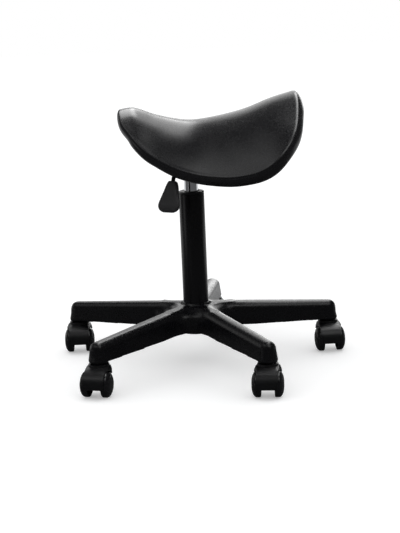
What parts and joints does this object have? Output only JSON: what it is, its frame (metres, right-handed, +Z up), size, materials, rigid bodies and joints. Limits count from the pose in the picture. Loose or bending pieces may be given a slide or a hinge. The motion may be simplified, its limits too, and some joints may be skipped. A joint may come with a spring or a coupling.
{
  "type": "saddle stool",
  "caption": "Saddle-shaped swivel seat on a height-adjustable gas column, with a five-arm base on twin-wheel casters and a paddle lever under the seat.",
  "frame": {"origin": "middle of the stool's overall box, on the floor", "axes": "+Z up along the gas column, -X towards the seat's nose, -Y towards the side with the height lever"},
  "size_m": [0.5705, 0.5751, 0.5318],
  "materials": {
    "nylon": "matte",
    "wheel_plastic": "satin",
    "column_paint": "satin",
    "chrome": "polished",
    "steel": "satin",
    "plate_paint": "satin",
    "rubber": "matte",
    "leatherette": "satin",
    "foam": "matte",
    "felt": "matte"
  },
  "bodies": {
    "base": {"star_base": "nylon", "column_tube": "column_paint", "guide_bush": "nylon", "bearing_race_lower": "steel", "caster1_stem": "steel", "caster2_stem": "steel", "caster3_stem": "steel", "caster4_stem": "steel", "caster5_stem": "steel"},
    "bearing": {"bearing_cage": "steel"},
    "spring_rod": {"piston_rod": "steel", "piston": "steel", "retaining_clip": "steel", "bearing_race_upper": "steel", "rubber_buffer": "rubber"},
    "seat": {"pressure_tube": "chrome", "seat_cover": "leatherette", "seat_foam": "foam", "seat_shell": "nylon", "bottom_liner": "felt", "seat_plate": "plate_paint", "lever_pivot_pin": "steel", "seat_bolt1": "steel", "seat_bolt2": "steel", "seat_bolt3": "steel", "seat_bolt4": "steel", "seat_insert1": "steel", "seat_insert2": "steel", "seat_insert3": "steel", "seat_insert4": "steel"},
    "lever": {"release_lever": "plate_paint", "lever_grip": "nylon"},
    "valve": {"valve_pin": "steel"},
    "caster1": {"caster1_hood": "nylon", "caster1_axle": "steel"},
    "caster1_left": {"caster1_wheel_left": "wheel_plastic"},
    "caster1_right": {"caster1_wheel_right": "wheel_plastic"},
    "caster2": {"caster2_hood": "nylon", "caster2_axle": "steel"},
    "caster2_left": {"caster2_wheel_left": "wheel_plastic"},
    "caster2_right": {"caster2_wheel_right": "wheel_plastic"},
    "caster3": {"caster3_hood": "nylon", "caster3_axle": "steel"},
    "caster3_left": {"caster3_wheel_left": "wheel_plastic"},
    "caster3_right": {"caster3_wheel_right": "wheel_plastic"},
    "caster4": {"caster4_hood": "nylon", "caster4_axle": "steel"},
    "caster4_left": {"caster4_wheel_left": "wheel_plastic"},
    "caster4_right": {"caster4_wheel_right": "wheel_plastic"},
    "caster5": {"caster5_hood": "nylon", "caster5_axle": "steel"},
    "caster5_left": {"caster5_wheel_left": "wheel_plastic"},
    "caster5_right": {"caster5_wheel_right": "wheel_plastic"}
  },
  "joints": [
    {"name": "seat_swivel", "type": "hinge", "parent": "base", "child": "spring_rod", "pos_m": [-0.01132, 0, 0.08], "axis": [0, 0, 1], "continuous": true},
    {"name": "bearing_roll", "type": "hinge", "parent": "base", "child": "bearing", "pos_m": [-0.01132, 0, 0.08], "axis": [0, 0, 1], "continuous": true},
    {"name": "seat_lift", "type": "slide", "parent": "spring_rod", "child": "seat", "axis": [0, 0, 1], "range_m": [0, 0.15]},
    {"name": "lever_lift", "type": "hinge", "parent": "seat", "child": "lever", "pos_m": [-0.0202, -0.01903, 0.4095], "axis": [-0.9063, 0.4226, 0], "range_deg": [0, 6]},
    {"name": "valve_press", "type": "slide", "parent": "seat", "child": "valve", "axis": [0, 0, -1], "range_m": [0, 0.0025]},
    {"name": "caster1_swivel", "type": "hinge", "parent": "base", "child": "caster1", "pos_m": [0.02532, 0.2675, 0.059], "axis": [0, 0, 1], "continuous": true},
    {"name": "caster1_left_roll", "type": "hinge", "parent": "caster1", "child": "caster1_left", "pos_m": [0.02532, 0.2475, 0.02452], "axis": [1, 0, 0], "continuous": true},
    {"name": "caster1_right_roll", "type": "hinge", "parent": "caster1", "child": "caster1_right", "pos_m": [0.02532, 0.2475, 0.02452], "axis": [1, 0, 0], "continuous": true},
    {"name": "caster2_swivel", "type": "hinge", "parent": "base", "child": "caster2", "pos_m": [-0.25441, 0.11751, 0.059], "axis": [0, 0, 1], "continuous": true},
    {"name": "caster2_left_roll", "type": "hinge", "parent": "caster2", "child": "caster2_left", "pos_m": [-0.25441, 0.09751, 0.02452], "axis": [1, 0, 0], "continuous": true},
    {"name": "caster2_right_roll", "type": "hinge", "parent": "caster2", "child": "caster2_right", "pos_m": [-0.25441, 0.09751, 0.02452], "axis": [1, 0, 0], "continuous": true},
    {"name": "caster3_swivel", "type": "hinge", "parent": "base", "child": "caster3", "pos_m": [-0.1982, -0.19487, 0.059], "axis": [0, 0, 1], "continuous": true},
    {"name": "caster3_left_roll", "type": "hinge", "parent": "caster3", "child": "caster3_left", "pos_m": [-0.20304, -0.21428, 0.02452], "axis": [0.9703, -0.2419, 0], "continuous": true},
    {"name": "caster3_right_roll", "type": "hinge", "parent": "caster3", "child": "caster3_right", "pos_m": [-0.20304, -0.21428, 0.02452], "axis": [0.9703, -0.2419, 0], "continuous": true},
    {"name": "caster4_swivel", "type": "hinge", "parent": "base", "child": "caster4", "pos_m": [0.11626, -0.23795, 0.059], "axis": [0, 0, 1], "continuous": true},
    {"name": "caster4_left_roll", "type": "hinge", "parent": "caster4", "child": "caster4_left", "pos_m": [0.11417, -0.25784, 0.02452], "axis": [0.9945, -0.1045, 0], "continuous": true},
    {"name": "caster4_right_roll", "type": "hinge", "parent": "caster4", "child": "caster4_right", "pos_m": [0.11417, -0.25784, 0.02452], "axis": [0.9945, -0.1045, 0], "continuous": true},
    {"name": "caster5_swivel", "type": "hinge", "parent": "base", "child": "caster5", "pos_m": [0.25441, 0.04781, 0.059], "axis": [0, 0, 1], "continuous": true},
    {"name": "caster5_left_roll", "type": "hinge", "parent": "caster5", "child": "caster5_left", "pos_m": [0.25581, 0.02786, 0.02452], "axis": [0.9976, 0.0698, 0], "continuous": true},
    {"name": "caster5_right_roll", "type": "hinge", "parent": "caster5", "child": "caster5_right", "pos_m": [0.25581, 0.02786, 0.02452], "axis": [0.9976, 0.0698, 0], "continuous": true}
  ],
  "couplings": [
    {"joint": "bearing_roll", "follows": "seat_swivel", "ratio": 0.5},
    {"joint": "valve_press", "follows": "lever_lift", "m_per_rad": 0.0235}
  ]
}
